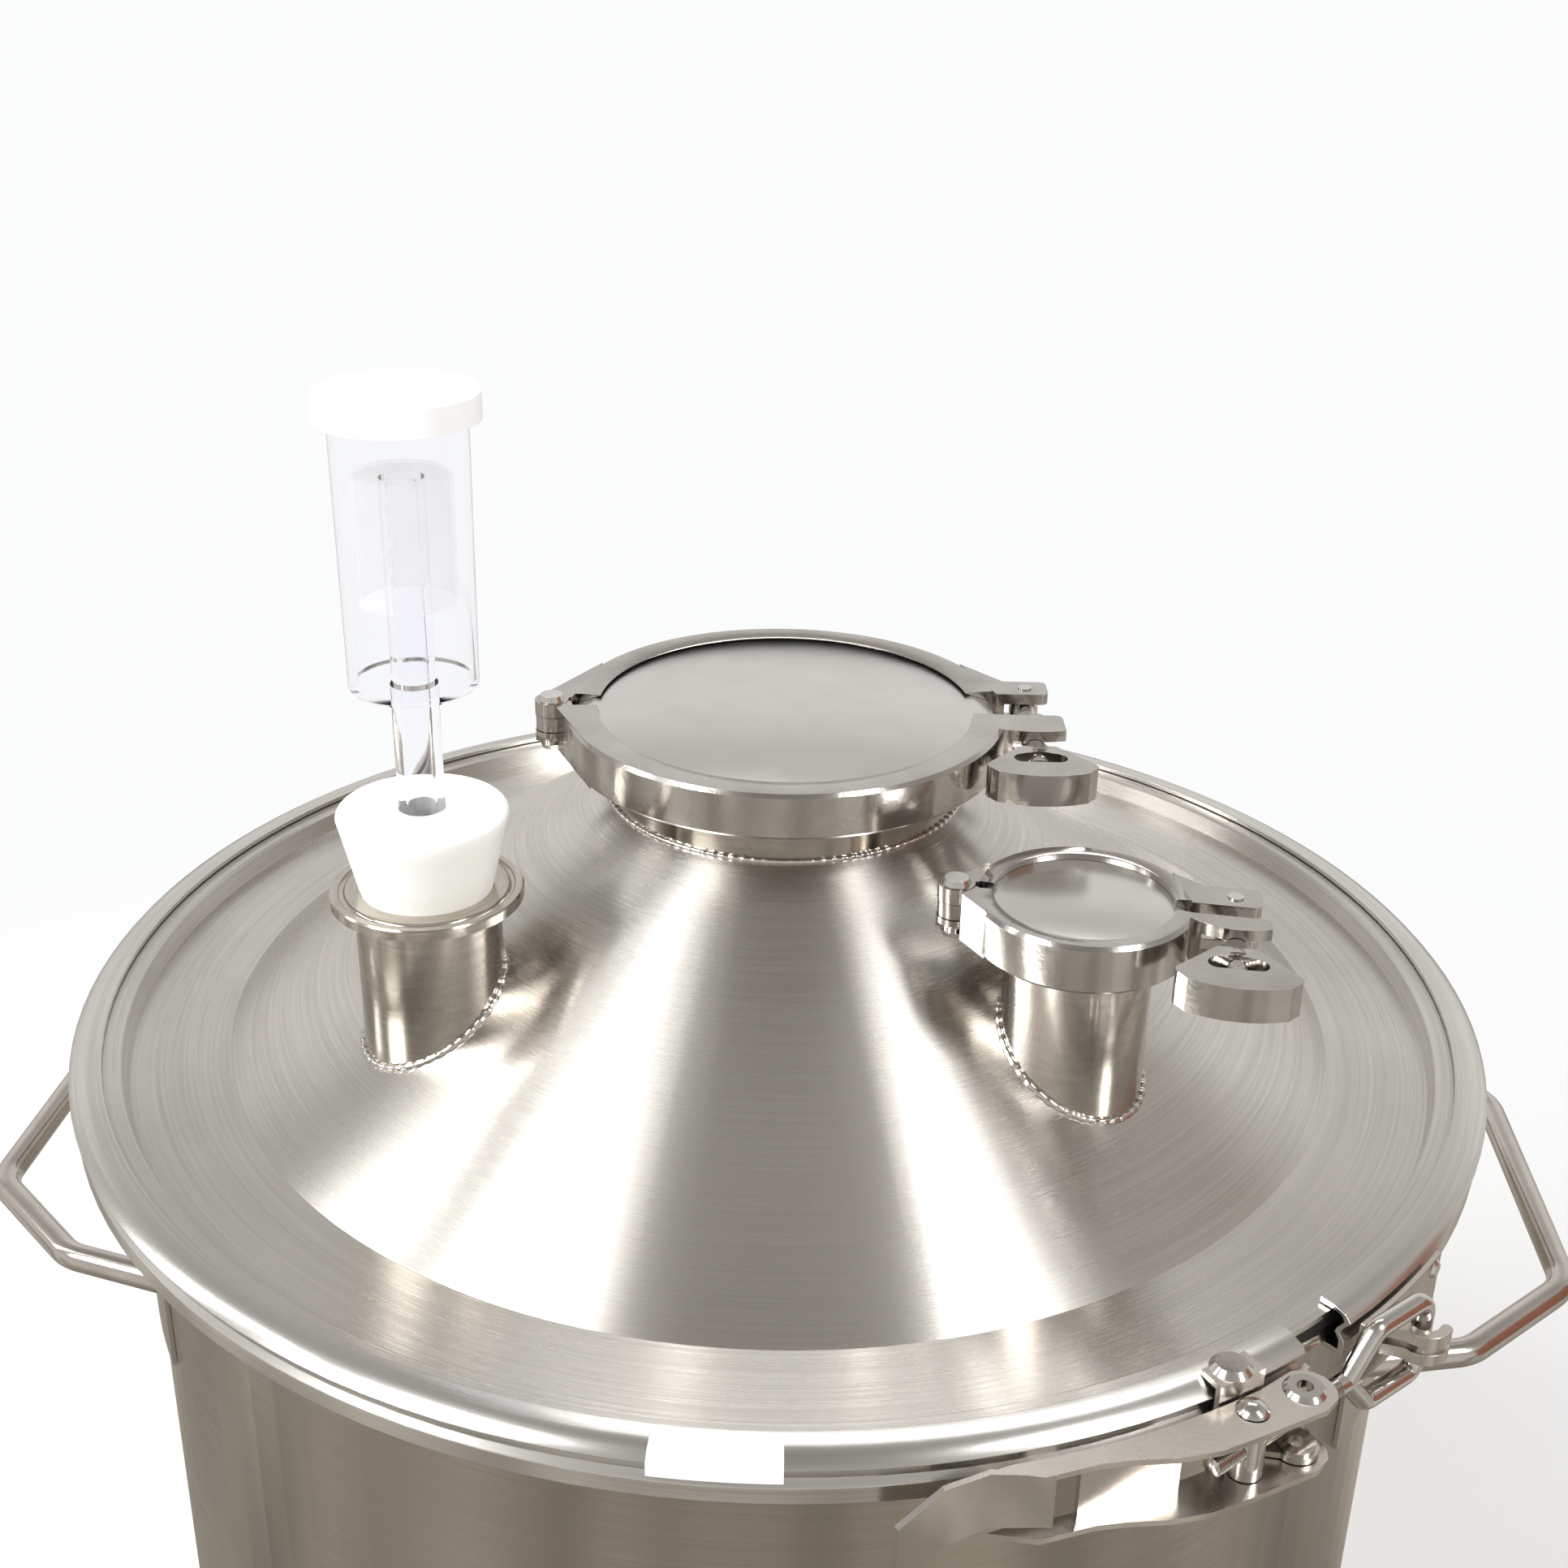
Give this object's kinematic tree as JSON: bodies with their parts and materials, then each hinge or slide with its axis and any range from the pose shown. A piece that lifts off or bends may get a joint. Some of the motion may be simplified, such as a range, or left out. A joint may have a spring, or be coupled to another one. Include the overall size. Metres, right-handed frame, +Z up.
{
  "type": "drum fermenter with airlock",
  "caption": "Stainless drum fermenter with a conical lid under a lever-lock band, clamped blank ports and an open port holding a bung and airlock.",
  "frame": {"origin": "centre of the flat base, on the surface that the vessel stands on", "axes": "+Z up along the vessel axis; the lever lock and the two narrow ports are on the -Y side, +X to the right seen from there"},
  "size_m": [0.4744, 0.4176, 0.6631],
  "materials": {
    "spun_steel": "fine brushed",
    "rod_steel": "polished",
    "pressed_steel": "satin",
    "plated_steel": "bright",
    "polished_steel": "polished",
    "cast_steel": "satin cast",
    "turned_steel": "turned",
    "weld_steel": "bright weld bead",
    "black_rubber": "matte",
    "white_silicone": "smooth",
    "clear_plastic": "clear",
    "white_plastic": "moulded",
    "white_sticker": "paper sticker"
  },
  "bodies": {
    "vessel": {"vessel": "spun_steel", "left_handle": "rod_steel", "right_handle": "rod_steel", "handle_pads": "pressed_steel"},
    "lid": {"lid": "spun_steel", "lid_gasket": "black_rubber", "lock_band": "spun_steel", "lever_bracket": "pressed_steel", "pivot_rivets": "plated_steel", "catch_bracket": "pressed_steel", "bracket_rivets": "plated_steel", "centre_ferrule": "polished_steel", "centre_gasket": "white_silicone", "centre_cap": "polished_steel", "centre_clamp_rear": "cast_steel", "centre_clamp_front": "cast_steel", "centre_hinge_pin": "turned_steel", "centre_bolt_pin": "turned_steel", "right_ferrule": "polished_steel", "right_gasket": "white_silicone", "right_cap": "polished_steel", "right_clamp_rear": "cast_steel", "right_clamp_front": "cast_steel", "right_hinge_pin": "turned_steel", "right_bolt_pin": "turned_steel", "left_ferrule": "polished_steel", "weld_beads": "weld_steel", "label": "white_sticker"},
    "lever": {"lever": "pressed_steel"},
    "loop": {"trunnion": "plated_steel", "loop_rod": "plated_steel"},
    "centre_bolt": {"centre_bolt": "turned_steel"},
    "centre_nut": {"centre_wing_nut": "cast_steel"},
    "right_bolt": {"right_bolt": "turned_steel"},
    "right_nut": {"right_wing_nut": "cast_steel"},
    "bung": {"bung": "white_silicone"},
    "airlock": {"airlock_body": "clear_plastic"},
    "airlock_cap": {"airlock_cap": "white_plastic"},
    "airlock_bell": {"airlock_bell": "clear_plastic"}
  },
  "joints": [
    {"name": "lid_lift", "type": "slide", "parent": "vessel", "child": "lid", "axis": [0, 0, 1], "range_m": [0, 0.25], "deforming": ["lock_band"]},
    {"name": "lever_swing", "type": "hinge", "parent": "lid", "child": "lever", "pos_m": [0.119, -0.176, 0.4593], "axis": [0, 0, 1], "range_deg": [0, 100]},
    {"name": "loop_swing", "type": "hinge", "parent": "lever", "child": "loop", "pos_m": [0.106, -0.183, 0.4593], "axis": [0, 0, 1], "range_deg": [-80, 0]},
    {"name": "centre_bolt_swing", "type": "hinge", "parent": "lid", "child": "centre_bolt", "pos_m": [0.0696, 0.0153, 0.5528], "axis": [0, 0, 1], "range_deg": [0, 90]},
    {"name": "centre_nut_turn", "type": "hinge", "parent": "centre_bolt", "child": "centre_nut", "pos_m": [0.0696, -0.022, 0.5528], "axis": [0, -1, 0], "continuous": true},
    {"name": "right_bolt_swing", "type": "hinge", "parent": "lid", "child": "right_bolt", "pos_m": [0.11444, -0.07969, 0.5353], "axis": [0, 0, 1], "range_deg": [0, 90]},
    {"name": "right_nut_turn", "type": "hinge", "parent": "right_bolt", "child": "right_nut", "pos_m": [0.11091, -0.1008, 0.5353], "axis": [-0.165, -0.9863, 0], "continuous": true},
    {"name": "bung_pull", "type": "slide", "parent": "lid", "child": "bung", "axis": [0, 0, 1], "range_m": [0, 0.06]},
    {"name": "airlock_pull", "type": "slide", "parent": "bung", "child": "airlock", "axis": [0, 0, 1], "range_m": [0, 0.06]},
    {"name": "cap_lift", "type": "slide", "parent": "airlock", "child": "airlock_cap", "axis": [0, 0, 1], "range_m": [0, 0.03]},
    {"name": "bell_float", "type": "slide", "parent": "airlock", "child": "airlock_bell", "axis": [0, 0, 1], "range_m": [0, 0.006]}
  ],
  "couplings": [
    {"joint": "loop_swing", "follows": "lever_swing", "ratio": -0.8}
  ]
}
